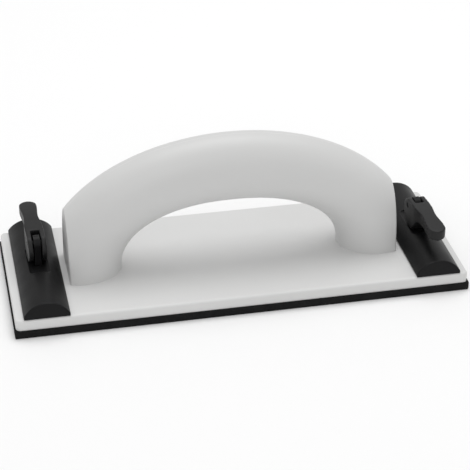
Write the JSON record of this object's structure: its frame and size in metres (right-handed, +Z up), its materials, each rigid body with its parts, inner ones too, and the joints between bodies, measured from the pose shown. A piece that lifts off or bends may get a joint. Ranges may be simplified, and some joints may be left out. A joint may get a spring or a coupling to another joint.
{
  "type": "sanding block",
  "caption": "Long hand sanding block: foam-faced rectangular plate, hollow arch handle, and a cam-lever bar clamp across each end for an abrasive sheet.",
  "frame": {"origin": "centre of the foam pad's sanding face", "axes": "+Z up through the handle's crown, +X along the block's length, +Y across it, so that the left clamp's lever lies towards +Y and the right one's towards -Y"},
  "size_m": [0.2366, 0.09, 0.0805],
  "materials": {
    "light_plastic": "satin moulded plastic, light grey",
    "plate_plastic": "satin moulded plastic, pale grey",
    "black_plastic": "satin moulded plastic, black",
    "pad_foam": "dense closed-cell foam, matte black",
    "grip_rubber": "matte rubber",
    "zinc_steel": "zinc plated",
    "black_steel": "blackened",
    "spring_steel": "bright spring wire"
  },
  "bodies": {
    "block": {"foam_pad": "pad_foam", "base_plate": "plate_plastic", "left_seat_strip": "grip_rubber", "right_seat_strip": "grip_rubber", "handle_front_shell": "light_plastic", "handle_rear_shell": "light_plastic", "handle_base_screws": "zinc_steel", "handle_shell_screws": "zinc_steel", "left_draw_link": "black_plastic", "right_draw_link": "black_plastic", "left_lift_spring": "spring_steel", "right_lift_spring": "spring_steel"},
    "left_bar": {"left_clamp_bar": "black_plastic", "left_jaw_strip": "grip_rubber"},
    "left_lever": {"left_cam_lever": "black_plastic", "left_pivot_pin": "black_steel"},
    "right_bar": {"right_clamp_bar": "black_plastic", "right_jaw_strip": "grip_rubber"},
    "right_lever": {"right_cam_lever": "black_plastic", "right_pivot_pin": "black_steel"}
  },
  "joints": [
    {"name": "left_lever_pivot", "type": "hinge", "parent": "block", "child": "left_lever", "pos_m": [-0.10155, 0, 0.028], "axis": [0.9995, 0.0332, 0], "range_deg": [0, 90]},
    {"name": "left_bar_lift", "type": "slide", "parent": "block", "child": "left_bar", "axis": [0, 0, 1], "range_m": [0, 0.005], "deforming": ["left_lift_spring"]},
    {"name": "right_lever_pivot", "type": "hinge", "parent": "block", "child": "right_lever", "pos_m": [0.10155, 0, 0.028], "axis": [-0.9995, -0.0332, 0], "range_deg": [0, 90]},
    {"name": "right_bar_lift", "type": "slide", "parent": "block", "child": "right_bar", "axis": [0, 0, 1], "range_m": [0, 0.005], "deforming": ["right_lift_spring"]}
  ],
  "couplings": [
    {"joint": "left_bar_lift", "follows": "left_lever_pivot", "m_per_rad": 0.003183},
    {"joint": "right_bar_lift", "follows": "right_lever_pivot", "m_per_rad": 0.003183}
  ]
}
